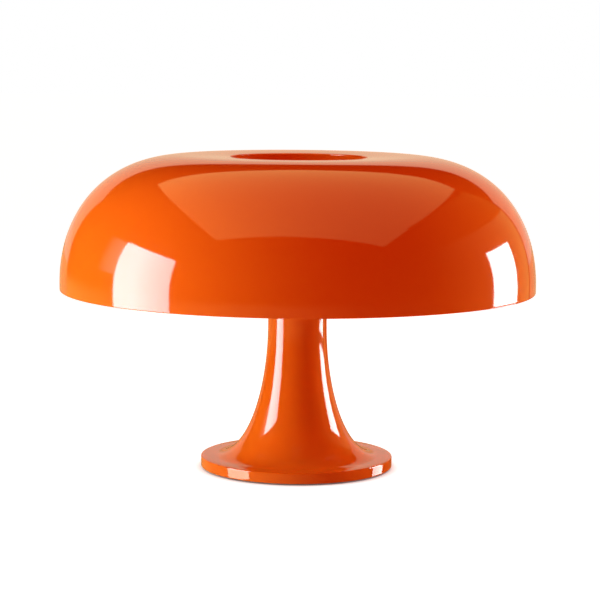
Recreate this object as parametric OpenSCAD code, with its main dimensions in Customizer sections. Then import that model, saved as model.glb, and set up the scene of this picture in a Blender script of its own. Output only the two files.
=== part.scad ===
// Mushroom table lamp: a lift-off dome shade on a trumpet-shaped stem, with a ring of four
// small globe bulbs lying flat under the dome. Millimetres, +Z up. The origin is the middle
// of the foot, on the surface that the lamp stands on.

/* [Shade] */
// Outside diameter of the shade
shade_d = 320; // [310:1:380]
// Thickness of the shade's wall and of its well
shade_wall = 2.5; // [2:0.1:4]
// Height of the dome from its rim to its crest
dome_h = 90; // [84:1:100]
// Height of the straight band above the rim
rim_band_h = 4.5; // [2:0.5:10]
// Rounding of the rim's lower edges
rim_edge_r = 0.7; // [0.3:0.1:0.9]
// Radius of the ring where the dome is highest
crest_r = 76; // [72:1:90]
// How far the dome's curve keeps going up from the rim band
side_pull = 50; // [40:1:60]
// How far the dome's curve stays level outside the crest
crest_pull = 52; // [40:1:56]
// Radius of the well at its upper edge
well_r = 46; // [43:0.5:50]
// How much narrower the well's wall is at its foot
well_taper = 0.5; // [0:0.1:1.5]
// Rounding of the well's upper edge
lip_r = 0.8; // [0.5:0.1:2]
// Slope in degrees of the ring inside the crest where it meets that edge
lip_slope = 3.5; // [1:0.5:8]
// Depth of the well from the crest to its floor
well_depth = 42; // [36:1:50]
// Number of vent holes in the well's floor
vent_count = 12; // [6:1:16]
// Diameter of a vent hole
vent_d = 6; // [4:0.5:7]
// Radius of the ring of vent holes
vent_ring_r = 22; // [16:0.5:23]
// Height of the centring rib under the well's floor
rib_h = 3; // [2:0.5:4]
// Thickness of the centring rib
rib_w = 2; // [1.5:0.1:2.5]
// Gap between the centring rib and the pads inside it
rib_clear = 0.5; // [0.3:0.1:0.8]

/* [Stem and foot] */
// Diameter of the foot
foot_d = 130; // [126:1:150]
// Height of the flat top of the foot
foot_h = 8.2; // [7:0.1:12]
// Gap between the moulding's lower edge and the table, which the felt ring fills
foot_gap = 1; // [0.8:0.1:2]
// Rounding of the foot's outer edges
foot_edge_r = 0.8; // [0.3:0.1:1.2]
// Diameter of the stem's neck
neck_d = 39.8; // [38:0.1:44]
// Height of the top of the stem
stem_h = 126; // [120:1:140]
// Height at which the neck starts to flare
flare_z = 96.7; // [90:0.1:100]
// Radius at which the flare meets the flat top of the foot
flare_r = 56.2; // [54:0.1:56.5]
// How far the flare's curve keeps going down from the neck
flare_pull_neck = 38; // [30:0.1:45]
// How far the flare's curve stays level inside the foot
flare_pull_foot = 25; // [20:0.1:27]
// Thickness of the stem's wall
stem_wall = 3; // [2.5:0.1:3.5]
// Thickness of the end wall that closes the neck
neck_end_t = 4; // [3:0.5:6]
// Width of the ledge that the base plate seats on
ledge_w = 3.5; // [3:0.1:3.6]

/* [Base plate and ballast] */
// Diameter of the base plate
plate_d = 120; // [118:0.5:121]
// Thickness of the base plate
plate_t = 2; // [1.6:0.1:2.4]
// Gap between the plate's edge and the foot
plate_clear = 0.3; // [0.1:0.1:0.5]
// Outside diameter of the felt ring
felt_d = 116; // [108:1:117]
// Width of the felt ring
felt_w = 10; // [6:0.5:11]
// Radius of the ring of screws that hold the base plate
boss_ring_r = 42; // [41:0.5:43]
// Diameter of a screw boss
boss_d = 7; // [6:0.5:8]
// Shank diameter of a base screw
base_screw_d = 3.2; // [2.8:0.1:3.6]
// Length of a base screw
base_screw_len = 8.5; // [7:0.5:9]
// Diameter of the ballast
ballast_d = 72; // [66:1:74]
// Height of the top of the ballast
ballast_top = 40; // [30:1:50]
// Gap between the ballast and the stem's inner wall
ballast_clear = 1; // [0.6:0.1:2]
// Diameter of the hole through the ballast
ballast_hole_d = 18; // [16:0.5:20]
// Radius of the ring of screws that hold the ballast
ballast_screw_ring_r = 24; // [22:0.5:26]
// Shank diameter of a ballast screw
ballast_screw_d = 4; // [3:0.5:5]
// Length of a ballast screw
ballast_screw_len = 12; // [9:0.5:16]

/* [Cord inlet] */
// Bore of the cord bushing
cord_bore_d = 5.6; // [5:0.1:6]
// Outside diameter of the bushing where it passes through the stem
bushing_d = 7.8; // [7.4:0.1:8]
// Diameter of the bushing's flange
bushing_flange_d = 9.6; // [9:0.1:10]
// Thickness of the bushing's flange
bushing_flange_t = 1.5; // [1:0.1:3]
// Diameter of the round spigot that holds the bushing
spigot_d = 10.4; // [10:0.1:11]
// How far the spigot's underside lies above the foot
spigot_lift = 0.2; // [0:0.1:1]
// Distance from the middle of the lamp to the spigot's inner end
spigot_in_y = 38; // [36:0.5:40]
// How far the spigot ends short of the flare's edge
spigot_back = 2; // [0:0.1:2.2]

/* [Terminal block] */
// Width of the terminal block
block_w = 18; // [16:0.5:20]
// Length of the terminal block
block_l = 14; // [12:0.5:15]
// Height of the terminal block
block_h = 10; // [9:0.5:12]
// Distance from the middle of the lamp to the terminal block
block_y = 15; // [14:0.5:18]
// Distance between the two poles
pole_pitch = 9; // [8:0.5:10]
// Outside diameter of a terminal insert
insert_d = 5; // [4.6:0.1:5.4]
// Bore of a terminal insert
insert_bore_d = 3; // [2.4:0.1:3.4]
// Diameter of a terminal screw
terminal_screw_d = 2.6; // [2:0.1:2.8]
// Gap between the terminal block and the slot in the ballast
slot_clear = 1.5; // [0.8:0.1:2]

/* [Lampholder carrier] */
// Thickness of the carrier's sheet
carrier_t = 2; // [1.5:0.1:2.5]
// Diameter of the carrier's hub
hub_d = 34; // [30:1:38]
// Width of the carrier's arms and ears
arm_w = 22; // [20:0.5:24]
// Distance from the middle of the lamp to the inside of an ear
ear_r = 30; // [29:0.5:32]
// Height of the lampholders' axis above the top of the stem
holder_rise = 24; // [20:0.5:26]
// Height of an ear above the lampholders' axis
ear_above = 15; // [14.5:0.5:18]
// Rounding of an ear's upper corners
ear_corner_r = 4; // [2:0.5:5]
// Width of a rubber pad on top of an ear
pad_w = 12; // [10:0.5:13]
// Thickness of a pad above its ear
pad_t = 2.5; // [2:0.1:4]
// Thickness of a pad's lips on each side of its ear
pad_lip_t = 1.5; // [1:0.1:1.6]
// Height of a pad's lips
pad_lip_h = 2; // [1:0.1:2.2]

/* [Threaded tube] */
// Outside diameter of the threaded tube
tube_d = 10; // [9:0.5:12]
// Bore of the threaded tube
tube_bore_d = 7.8; // [7:0.1:8]
// How far the tube stands out above the upper nut
tube_over = 3.5; // [2:0.5:5]
// How far the tube stands out below the lower nut
tube_under = 3.5; // [2:0.5:5]
// Width across the flats of the tube's nuts
tube_nut_af = 14; // [13:0.5:17]
// Height of a tube nut
tube_nut_h = 5; // [3:0.5:6]
// Diameter of a washer
washer_d = 20; // [18:0.5:24]
// Thickness of a washer
washer_t = 1.5; // [1:0.1:2]

/* [Lampholders] */
// Outside diameter of a lampholder's body
holder_d = 24; // [22:0.5:25]
// Length of a lampholder's body
holder_len = 32; // [30:0.5:34]
// Diameter of the threaded spigot behind the body
holder_spigot_d = 10; // [9:0.5:11]
// Length of the threaded spigot
holder_spigot_len = 8; // [7.5:0.5:9]
// Bore that the leads pass through
lead_bore_d = 6; // [5.6:0.1:7]
// Depth of the socket from its mouth
socket_depth = 20; // [19:0.5:21]
// Width across the flats of a holder nut
holder_nut_af = 14; // [13:0.5:15]
// Height of a holder nut
holder_nut_h = 4; // [3:0.5:4]
// Wall of the threaded contact shell
contact_shell_t = 0.6; // [0.4:0.1:0.8]
// Length of the threaded contact shell
contact_shell_len = 16; // [14:0.5:17]
// Diameter of the centre contact
contact_d = 6.8; // [6:0.1:8]
// Thickness of the centre contact
contact_t = 0.8; // [0.5:0.1:1]
// Diameter of the centre contact's rivet
rivet_d = 4; // [3:0.1:4.4]
// How far the rivet stands out into the lead bore
rivet_over = 1.4; // [0.5:0.1:1.5]

/* [Bulbs] */
// Diameter of a bulb's globe
globe_d = 45; // [35:1:48]
// Length of a bulb from its tip to the end of its globe
bulb_len = 78; // [72:1:82]
// Thickness of the glass
glass_t = 1; // [0.8:0.1:1.4]
// Diameter of the cap over its thread
cap_d = 13.9; // [13.5:0.1:14]
// Pitch of the cap's thread
thread_pitch = 2.82; // [2.5:0.01:3]
// Depth of the cap's thread
thread_depth = 0.5; // [0.3:0.1:0.7]
// Gap between the cap and the contact shell
cap_clear = 0.3; // [0.25:0.05:0.5]
// Length of the cap from the insulator to the glass
cap_len = 13; // [12:0.5:15]
// Length of the insulator
insulator_len = 3; // [2:0.1:4]
// Diameter of the contact tip
tip_d = 4.8; // [4:0.1:5]
// Length of the contact tip
tip_len = 2.2; // [1.5:0.1:3]

/* [Leads] */
// Diameter of an insulated lead
lead_d = 1.8; // [1.4:0.1:1.9]
// Distance between two leads that run side by side
lead_pitch = 2.1; // [2:0.05:2.2]

/* [Hidden] */
$fn = 96;
HOLDERS = [1 : 4];
JUMPERS = [1 : 3];

orange = [0.90, 0.30, 0.05];
cream = [0.93, 0.91, 0.85];
steel = [0.72, 0.73, 0.75];
brass = [0.80, 0.66, 0.38];
black = [0.10, 0.10, 0.11];
iron = [0.25, 0.25, 0.27];
opal = [0.97, 0.96, 0.92];

// Small gaps between a shaft or screw and its hole
hole_clear = 0.1;
seat_clear = 0.05;
// Overlap that joins two shapes of one piece
weld = 0.5;
// Room in a hole beyond the end of its screw
screw_end_gap = 1;
// Bands that each curved wall is made of
dome_steps = 28;
crest_steps = 12;
lip_steps = 8;
fillet_steps = 6;
flare_steps = 30;
neck_steps = 10;
globe_steps = 14;

shade_r = shade_d / 2;
foot_r = foot_d / 2;
neck_r = neck_d / 2;
plate_top = foot_gap + plate_t;
carrier_top = stem_h + carrier_t;
holder_z = stem_h + holder_rise;
ear_top = holder_z + ear_above;
well_under = ear_top + pad_t;
well_floor = well_under + shade_wall;
crest_z = well_floor + well_depth;
rim_z = crest_z - dome_h;
holder_back = ear_r + carrier_t;
holder_mouth = holder_back + holder_len;
socket_floor = holder_mouth - socket_depth;
contact_face = socket_floor + contact_t;
shell_in_r = cap_d / 2 + cap_clear;
shell_out_r = shell_in_r + contact_shell_t;
tube_top = carrier_top + washer_t + tube_nut_h + tube_over;
tube_bottom = stem_h - neck_end_t - washer_t - tube_nut_h - tube_under;
spigot_z = foot_h + spigot_d / 2 + spigot_lift;
spigot_out_y = flare_r - spigot_back;

// Points along a cubic curve with four control points
function curve(p, n) = [for (i = [0 : n]) let (t = i / n, u = 1 - t)
    u * u * u * p[0] + 3 * u * u * t * p[1] + 3 * u * t * t * p[2] + t * t * t * p[3]];

// The points of a list from one place to another
function part(p, first, last) = [for (i = [first : last]) p[i]];

// A profile moved sideways by a wall's thickness, to its left or, when negative, its right
function moved(p, wall) = [for (i = [0 : len(p) - 1])
    let (before = p[max(i - 1, 0)], after = p[min(i + 1, len(p) - 1)],
         step = (after - before) / norm(after - before))
    p[i] + wall * [-step[1], step[0]]];

function backwards(p) = [for (i = [len(p) - 1 : -1 : 0]) p[i]];

// An arc about a centre from one angle to another
function arc(centre, r, from, to, n) = [for (i = [0 : n])
    let (a = from + (to - from) * i / n) centre + r * [cos(a), sin(a)]];

// A point on the smooth curve through a list of route points
function spline_point(a, b, c, d, t) = 0.5 * (2 * b + (c - a) * t
    + (2 * a - 5 * b + 4 * c - d) * t * t + (3 * b - a - 3 * c + d) * t * t * t);
function route(p, n) = let (last = len(p) - 1) concat(
    [for (i = [0 : last - 1], j = [0 : n - 1])
        spline_point(p[max(i - 1, 0)], p[i], p[i + 1], p[min(i + 2, last)], j / n)],
    [p[last]]);

// A round wire of radius r along a route; the guide is a direction that the route never takes
module wire(path, r, guide, sides = 8) {
    last = len(path) - 1;
    rings = [for (i = [0 : last])
        let (along = path[min(i + 1, last)] - path[max(i - 1, 0)],
             ahead = along / norm(along),
             across = cross(guide, ahead),
             side = across / norm(across),
             up = cross(ahead, side))
        for (j = [0 : sides - 1]) let (a = 360 * j / sides)
            path[i] + r * (cos(a) * side + sin(a) * up)];
    walls = [for (i = [0 : last - 1], j = [0 : sides - 1])
        let (a = i * sides + j, b = i * sides + (j + 1) % sides)
        each [[a, b + sides, b], [a, a + sides, b + sides]]];
    first_end = [[for (j = [0 : sides - 1]) j]];
    last_end = [[for (j = [sides - 1 : -1 : 0]) last * sides + j]];
    polyhedron(rings, concat(walls, first_end, last_end));
}

module ring(outer_r, inner_r, h) {
    difference() {
        cylinder(r = outer_r, h = h);
        translate([0, 0, -weld]) cylinder(r = inner_r, h = h + 2 * weld);
    }
}

module hex_nut(across_flats, h, hole_r) {
    difference() {
        cylinder(d = across_flats / cos(30), h = h, $fn = 6);
        translate([0, 0, -weld]) cylinder(r = hole_r, h = h + 2 * weld);
    }
}

// Height of a countersunk head, which never goes right through the base plate
function head_h(d) = min(d / 2, plate_t);

// A countersunk screw that points up from the underside of the base plate
module countersunk_screw(d, len) {
    cylinder(d1 = d + 2 * head_h(d), d2 = d, h = head_h(d));
    cylinder(d = d, h = len);
}

module countersink(d, depth) {
    hole_d = d + 2 * hole_clear;
    sink_h = head_h(d) + hole_clear;
    translate([0, 0, -hole_clear]) cylinder(d1 = hole_d + 2 * sink_h, d2 = hole_d, h = sink_h);
    translate([0, 0, -weld]) cylinder(d = hole_d, h = depth + 2 * weld);
}

// Puts a shape at each of the four screw bosses, midway between the lamp's axes
module at_bosses() {
    for (k = [0 : 3]) rotate([0, 0, 90 * k + 45]) translate([boss_ring_r, 0, 0]) children();
}

// Puts a shape at each of the three ballast screws, clear of the slot at the rear
module at_ballast_screws() {
    for (k = [0 : 2]) rotate([0, 0, 120 * k + 30])
        translate([ballast_screw_ring_r, 0, 0]) children();
}

// Lays a shape made along Z flat along the axis of a lampholder
module at_holder(k) {
    rotate([0, 0, 90 * (k - 1)]) translate([0, 0, holder_z]) rotate([0, 90, 0]) children();
}

// The dome, the ring inside its crest, the lip and the well as one skin, from the rim to the floor
dome_curve = curve([[shade_r, rim_z + rim_band_h], [shade_r, rim_z + rim_band_h + side_pull],
    [crest_r + crest_pull, crest_z], [crest_r, crest_z]], dome_steps);
ring_end_r = well_r + lip_r * (1 - sin(lip_slope));
ring_w = crest_r - ring_end_r;
function ring_z(r) = crest_z - tan(lip_slope) * (crest_r - r) * (crest_r - r) / (2 * ring_w);
ring_curve = [for (i = [1 : crest_steps]) let (r = crest_r - ring_w * i / crest_steps) [r, ring_z(r)]];
lip_middle = [well_r + lip_r, ring_z(ring_end_r) - lip_r * cos(lip_slope)];
lip_curve = arc(lip_middle, lip_r, 90 + lip_slope, 180, lip_steps);
well_fillet_r = 4;
well_floor_r = well_r - well_taper - well_fillet_r;
well_fillet = arc([well_floor_r, well_floor + well_fillet_r], well_fillet_r, 0, -90, fillet_steps);
shade_skin = concat([[shade_r, rim_z + rim_edge_r]], dome_curve, ring_curve,
    part(lip_curve, 1, lip_steps), well_fillet);
// Inside, the wall turns into the well in a plain corner, since the lip is rounded more tightly
// than the wall is thick
inside_r = well_r + shade_wall;
ring_inside = [for (p = ring_curve) if (p[0] > inside_r + weld) p];
shade_inside = concat(
    moved(concat([[shade_r, rim_z + rim_edge_r]], dome_curve, ring_inside), shade_wall),
    [[inside_r, ring_z(inside_r) - shade_wall]],
    part(moved(concat([lip_curve[lip_steps]], well_fillet), shade_wall), 1, fillet_steps + 1));
inner_rim_r = shade_r - shade_wall;

module shade_profile() {
    polygon(concat(
        [[inner_rim_r + rim_edge_r, rim_z], [shade_r - rim_edge_r, rim_z]],
        shade_skin,
        [[0, well_floor], [0, well_under]],
        backwards(shade_inside)));
}

pad_corner_r = norm([holder_back + pad_lip_t, pad_w / 2]);
rib_in_r = pad_corner_r + rib_clear;

module shade() {
    color(orange) difference() {
        union() {
            rotate_extrude() shade_profile();
            translate([0, 0, well_under - rib_h]) ring(rib_in_r + rib_w, rib_in_r, rib_h + weld);
        }
        for (k = [0 : vent_count - 1])
            rotate([0, 0, 360 * k / vent_count])
                translate([vent_ring_r, 0, well_under - weld])
                    cylinder(d = vent_d, h = shade_wall + 2 * weld);
    }
}

// The stem's outer curve, from the neck down to the flat top of the foot
flare_curve = curve([[neck_r, flare_z], [neck_r, flare_z - flare_pull_neck],
    [flare_r - flare_pull_foot, foot_h], [flare_r, foot_h]], flare_steps);
cavity_r = plate_d / 2 + plate_clear - ledge_w;

module stem_outline() {
    polygon(concat(
        [[0, foot_gap], [foot_r - foot_edge_r, foot_gap]],
        arc([foot_r - foot_edge_r, foot_gap + foot_edge_r], foot_edge_r, -60, 0, 2),
        arc([foot_r - foot_edge_r, foot_h - foot_edge_r], foot_edge_r, 0, 90, 3),
        backwards(flare_curve),
        [[neck_r, stem_h], [0, stem_h]]));
}

// The space inside the stem, drawn back from its outer curve by a wall's thickness
module stem_hollow(wall) {
    polygon(concat(
        [[0, plate_top - weld], [cavity_r, plate_top - weld], [cavity_r, foot_h - wall]],
        backwards(moved(flare_curve, -wall)),
        [[neck_r - wall, stem_h - neck_end_t], [0, stem_h - neck_end_t]]));
}

module stem() {
    color(orange) difference() {
        union() {
            difference() {
                rotate_extrude() stem_outline();
                rotate_extrude() stem_hollow(stem_wall);
            }
            intersection() {
                rotate_extrude() stem_outline();
                at_bosses() translate([0, 0, plate_top]) cylinder(d = boss_d, h = stem_h);
            }
            translate([0, spigot_out_y, spigot_z]) rotate([90, 0, 0])
                cylinder(d = spigot_d, h = spigot_out_y - spigot_in_y);
        }
        translate([0, 0, foot_gap - weld])
            cylinder(r = plate_d / 2 + plate_clear, h = plate_t + weld);
        translate([0, 0, stem_h - neck_end_t - weld])
            cylinder(d = tube_d + 2 * hole_clear, h = neck_end_t + 2 * weld);
        at_bosses() translate([0, 0, foot_gap])
            cylinder(d = base_screw_d + 2 * hole_clear, h = base_screw_len + screw_end_gap);
        translate([0, spigot_out_y + weld, spigot_z]) rotate([90, 0, 0])
            cylinder(d = bushing_d + 2 * hole_clear, h = spigot_out_y - spigot_in_y + 2 * weld);
    }
}

module base_plate() {
    color(steel) difference() {
        translate([0, 0, foot_gap]) cylinder(d = plate_d, h = plate_t);
        at_bosses() translate([0, 0, foot_gap]) countersink(base_screw_d, plate_t);
        at_ballast_screws() translate([0, 0, foot_gap]) countersink(ballast_screw_d, plate_t);
        translate([0, block_mid_y, foot_gap - weld])
            cylinder(r = fixing_r + hole_clear, h = plate_t + 2 * weld);
    }
}

module felt_ring() {
    color(black) ring(felt_d / 2, felt_d / 2 - felt_w, foot_gap);
}

module base_screws() {
    color(steel) at_bosses() translate([0, 0, foot_gap])
        countersunk_screw(base_screw_d, base_screw_len);
}

module ballast() {
    color(iron) difference() {
        intersection() {
            rotate_extrude() stem_hollow(stem_wall + ballast_clear);
            translate([0, 0, plate_top]) cylinder(d = ballast_d, h = ballast_top - plate_top);
        }
        cylinder(d = ballast_hole_d, h = ballast_top + weld);
        slot_w = block_w + 2 * slot_clear;
        translate([-slot_w / 2, 0, 0]) cube([slot_w, ballast_d, ballast_top + weld]);
        at_ballast_screws() translate([0, 0, foot_gap])
            cylinder(d = ballast_screw_d + 2 * hole_clear, h = ballast_screw_len + screw_end_gap);
    }
}

module ballast_screws() {
    color(steel) at_ballast_screws() translate([0, 0, foot_gap])
        countersunk_screw(ballast_screw_d, ballast_screw_len);
}

module cord_bushing() {
    bushing_len = spigot_out_y - spigot_in_y;
    color(black) translate([0, spigot_out_y, spigot_z]) rotate([90, 0, 0]) difference() {
        union() {
            cylinder(d = bushing_d, h = bushing_len);
            translate([0, 0, -bushing_flange_t]) cylinder(d = bushing_flange_d, h = bushing_flange_t);
        }
        translate([0, 0, -bushing_flange_t - weld])
            cylinder(d = cord_bore_d, h = bushing_len + bushing_flange_t + 2 * weld);
    }
}

// Thickness of the block under an insert, and how far the inserts lie inside its ends
insert_floor = 1.9;
insert_inset = 1;
// Gap around a terminal screw in the block, and its depth below the block's top
screw_well_clear = 0.5;
screw_sink = 1;
// Slots for a screwdriver
driver_slot_w = 0.6;
driver_slot_depth = 1;
insert_z = plate_top + insert_floor + insert_d / 2;
insert_len = block_l - 2 * insert_inset;
block_mid_y = block_y + block_l / 2;
pole_x = [-pole_pitch / 2, pole_pitch / 2];
clamp_y = [block_mid_y - insert_len / 4, block_mid_y + insert_len / 4];
// Shank, head and head height of the screw that fixes the block
fixing_r = 1.2;
fixing_head_r = 2.2;
fixing_head_h = 1.4;

module terminal_block() {
    color(cream) difference() {
        translate([-block_w / 2, block_y, plate_top]) cube([block_w, block_l, block_h]);
        for (x = pole_x) {
            translate([x, block_y - weld, insert_z]) rotate([-90, 0, 0])
                cylinder(d = insert_d + 2 * hole_clear, h = block_l + 2 * weld);
            for (y = clamp_y) translate([x, y, insert_z])
                cylinder(d = terminal_screw_d + 2 * screw_well_clear, h = block_h);
        }
        translate([0, block_mid_y, plate_top - weld])
            cylinder(r = fixing_r + hole_clear, h = block_h + 2 * weld);
    }
}

module terminal_inserts() {
    color(brass) for (x = pole_x) difference() {
        translate([x, block_mid_y - insert_len / 2, insert_z]) rotate([-90, 0, 0])
            ring(insert_d / 2, insert_bore_d / 2, insert_len);
        for (y = clamp_y) translate([x, y, insert_z])
            cylinder(d = terminal_screw_d + 2 * hole_clear, h = insert_d);
    }
}

module terminal_screws() {
    screw_bottom = insert_z + lead_d / 2;
    screw_top = plate_top + block_h - screw_sink;
    color(steel) for (x = pole_x, y = clamp_y) translate([x, y, 0]) difference() {
        translate([0, 0, screw_bottom]) cylinder(d = terminal_screw_d, h = screw_top - screw_bottom);
        translate([-terminal_screw_d, -driver_slot_w / 2, screw_top - driver_slot_depth])
            cube([2 * terminal_screw_d, driver_slot_w, 2 * driver_slot_depth]);
    }
}

module terminal_fixing_screw() {
    color(steel) translate([0, block_mid_y, 0]) difference() {
        union() {
            translate([0, 0, foot_gap]) cylinder(r = fixing_r, h = plate_t + block_h);
            translate([0, 0, plate_top + block_h]) cylinder(r = fixing_head_r, h = fixing_head_h);
        }
        translate([-fixing_head_r, -driver_slot_w / 2, plate_top + block_h + fixing_head_h / 2])
            cube([2 * fixing_head_r, driver_slot_w, fixing_head_h]);
    }
}

// The two supply leads rise from the terminal block through the tube to the first lampholder
lead_half = lead_pitch / 2;
// How far the leads end short of a socket's floor, and the room beyond their ends
lead_short = 8;
lead_room = 2;
lead_end = socket_floor - lead_short;
// Distance of a supply lead from the tube's axis
tube_lead_y = 1.4;
// First lift of the supply leads, and the heights where they cross over and come together
lead_lift = 3;
lead_cross_z = 20;
lead_gather_z = 36;
// Radius of the bend that turns the supply leads towards the first lampholder
lead_bend_r = 9;
function supply_route(side) = concat(
    [[side * pole_pitch / 2, block_mid_y, insert_z],
     [side * pole_pitch / 2, block_y - insert_inset, insert_z],
     [side * (pole_pitch - lead_half) / 2, block_y - 2 * lead_lift - insert_inset, insert_z + lead_lift],
     [side * lead_lift / 2, lead_lift * (1 + side) / 2, lead_cross_z],
     [0, side * tube_lead_y, lead_gather_z],
     [0, side * tube_lead_y, stem_h / 2],
     [0, side * tube_lead_y, tube_bottom]],
    [for (a = [0 : 30 : 90]) let (t = a / 90)
        [lead_bend_r * (1 - cos(a)),
         side * (tube_lead_y * (1 - t) + lead_half * t),
         holder_z - lead_half - lead_bend_r * (1 - sin(a))]],
    [[ear_r, side * lead_half, holder_z - lead_half],
     [lead_end, side * lead_half, holder_z - lead_half]]);

module supply_leads() {
    color(cream) for (side = [-1, 1]) wire(route(supply_route(side), 4), lead_d / 2, [1, 1, 1]);
}

// Two jumper leads turn a quarter from one lampholder to the next, and step down on the way
turn_r = 16;
turn_steps = 16;
// Where in that turn the step down begins, and how much of the turn it takes
step_from = 0.35;
step_share = 0.3;
function step_down(t) = let (s = min(max((t - step_from) / step_share, 0), 1))
    holder_z + lead_half - lead_pitch * s * s * (3 - 2 * s);
function jumper_route(side) = concat(
    [[lead_end, side * lead_half, holder_z + lead_half],
     [ear_r, side * lead_half, holder_z + lead_half]],
    [for (i = [0 : turn_steps]) let (t = i / turn_steps, r = turn_r - side * lead_half)
        [turn_r - r * sin(90 * t), turn_r - r * cos(90 * t), step_down(t)]],
    [[side * lead_half, ear_r, holder_z - lead_half],
     [side * lead_half, lead_end, holder_z - lead_half]]);

module jumper_leads(k) {
    color(cream) rotate([0, 0, 90 * (k - 1)])
        for (side = [-1, 1]) wire(jumper_route(side), lead_d / 2, [0, 0, 1]);
}

module threaded_tube() {
    color(brass) translate([0, 0, tube_bottom])
        ring(tube_d / 2, tube_bore_d / 2, tube_top - tube_bottom);
}

module lower_washer() {
    color(steel) translate([0, 0, stem_h - neck_end_t - washer_t])
        ring(washer_d / 2, tube_d / 2 + hole_clear, washer_t);
}

module lower_nut() {
    color(brass) translate([0, 0, stem_h - neck_end_t - washer_t - tube_nut_h])
        hex_nut(tube_nut_af, tube_nut_h, tube_d / 2 + seat_clear);
}

module upper_washer() {
    color(steel) translate([0, 0, carrier_top]) ring(washer_d / 2, tube_d / 2 + hole_clear, washer_t);
}

module upper_nut() {
    color(brass) translate([0, 0, carrier_top + washer_t])
        hex_nut(tube_nut_af, tube_nut_h, tube_d / 2 + seat_clear);
}

// One ear of the carrier, standing up from the end of an arm
module ear() {
    rise = ear_top - stem_h;
    translate([ear_r, 0, stem_h]) rotate([90, 0, 90]) linear_extrude(carrier_t) {
        translate([-arm_w / 2, 0]) square([arm_w, rise - ear_corner_r]);
        translate([-arm_w / 2 + ear_corner_r, 0]) square([arm_w - 2 * ear_corner_r, rise]);
        for (side = [-1, 1])
            translate([side * (arm_w / 2 - ear_corner_r), rise - ear_corner_r]) circle(r = ear_corner_r);
    }
}

module carrier() {
    color(steel) difference() {
        union() {
            translate([0, 0, stem_h]) cylinder(d = hub_d, h = carrier_t);
            for (k = HOLDERS) rotate([0, 0, 90 * (k - 1)]) {
                translate([0, -arm_w / 2, stem_h]) cube([holder_back, arm_w, carrier_t]);
                ear();
            }
        }
        translate([0, 0, stem_h - weld]) cylinder(d = tube_d + 2 * hole_clear, h = carrier_t + 2 * weld);
        for (k = HOLDERS) at_holder(k) translate([0, 0, ear_r - weld])
            cylinder(d = holder_spigot_d + 2 * hole_clear, h = carrier_t + 2 * weld);
    }
}

module shade_pads() {
    pad_depth = carrier_t + 2 * pad_lip_t;
    color(black) for (k = HOLDERS) rotate([0, 0, 90 * (k - 1)]) difference() {
        translate([ear_r - pad_lip_t, -pad_w / 2, ear_top - pad_lip_h])
            cube([pad_depth, pad_w, pad_lip_h + pad_t]);
        translate([ear_r, -pad_w / 2 - weld, ear_top - pad_lip_h - weld])
            cube([carrier_t, pad_w + 2 * weld, pad_lip_h + weld]);
    }
}

module holder_body(k) {
    color(cream) at_holder(k) difference() {
        union() {
            translate([0, 0, holder_back]) cylinder(d = holder_d, h = holder_len);
            translate([0, 0, holder_back - holder_spigot_len])
                cylinder(d = holder_spigot_d, h = holder_spigot_len + weld);
        }
        translate([0, 0, holder_back - holder_spigot_len - weld])
            cylinder(d = lead_bore_d, h = lead_end + lead_room - holder_back + holder_spigot_len + weld);
        translate([0, 0, lead_end]) cylinder(d = rivet_d + 2 * hole_clear, h = socket_depth);
        translate([0, 0, socket_floor]) cylinder(r = shell_out_r + hole_clear, h = socket_depth + weld);
    }
}

module holder_shell(k) {
    color(brass) at_holder(k) translate([0, 0, socket_floor])
        ring(shell_out_r, shell_in_r, contact_shell_len);
}

module holder_contact(k) {
    rivet_start = lead_end + lead_room - rivet_over;
    color(brass) at_holder(k) {
        translate([0, 0, socket_floor]) cylinder(d = contact_d, h = contact_t);
        translate([0, 0, rivet_start]) cylinder(d = rivet_d, h = socket_floor - rivet_start + contact_t);
    }
}

module holder_nut(k) {
    color(steel) at_holder(k) translate([0, 0, ear_r - holder_nut_h])
        hex_nut(holder_nut_af, holder_nut_h, holder_spigot_d / 2 + seat_clear);
}

// Bulb: thickness of the cap's metal, width of its plain edges, and how far the glass goes in
cap_t = 0.4;
cap_lip = 1;
glass_in_cap = 4;
// Stations along a bulb's axis, from the contact tip out to the end of the globe
tip_end = contact_face + tip_len;
cap_start = tip_end + insulator_len;
cap_end = cap_start + cap_len;
globe_end = contact_face + bulb_len;
globe_r = globe_d / 2;
globe_mid = globe_end - globe_r;
neck_glass_r = cap_d / 2 - thread_depth - cap_t;
neck_in = cap_end - glass_in_cap;
// Where the neck's curve meets the globe, measured from the globe's end, and how far it pulls
shoulder_angle = 138;
shoulder_way = [sin(shoulder_angle), -cos(shoulder_angle)];
neck_pull = 9;
neck_step = 0.5;

// The glass outline as [distance along the axis, radius], from the cap to the globe's end
function glass_outline(wall) = let (
        neck = neck_glass_r - wall,
        globe = globe_r - wall,
        meet = [globe_mid + globe * cos(shoulder_angle), globe * sin(shoulder_angle)])
    concat(
        [[neck_in + wall, neck]],
        curve([[cap_end + neck_step, neck], [cap_end + neck_pull, neck + neck_step],
            meet - neck_pull * shoulder_way, meet], neck_steps),
        [for (i = [1 : globe_steps]) let (a = shoulder_angle * (1 - i / globe_steps))
            [globe_mid, 0] + globe * [cos(a), sin(a)]]);

module glass_form(wall) {
    outline = glass_outline(wall);
    rotate_extrude() polygon(concat([[0, neck_in + wall]], [for (p = outline) [p[1], p[0]]]));
}

// The glass press inside a bulb, which holds the filament's wires
press_r = 3;
press_len = 16;
press_end = cap_end + press_len;

module bulb_glass(k) {
    color(opal) at_holder(k) {
        difference() {
            glass_form(0);
            difference() {
                glass_form(glass_t);
                translate([0, 0, neck_in]) cylinder(r = press_r, h = press_end - neck_in);
            }
        }
    }
}

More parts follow.
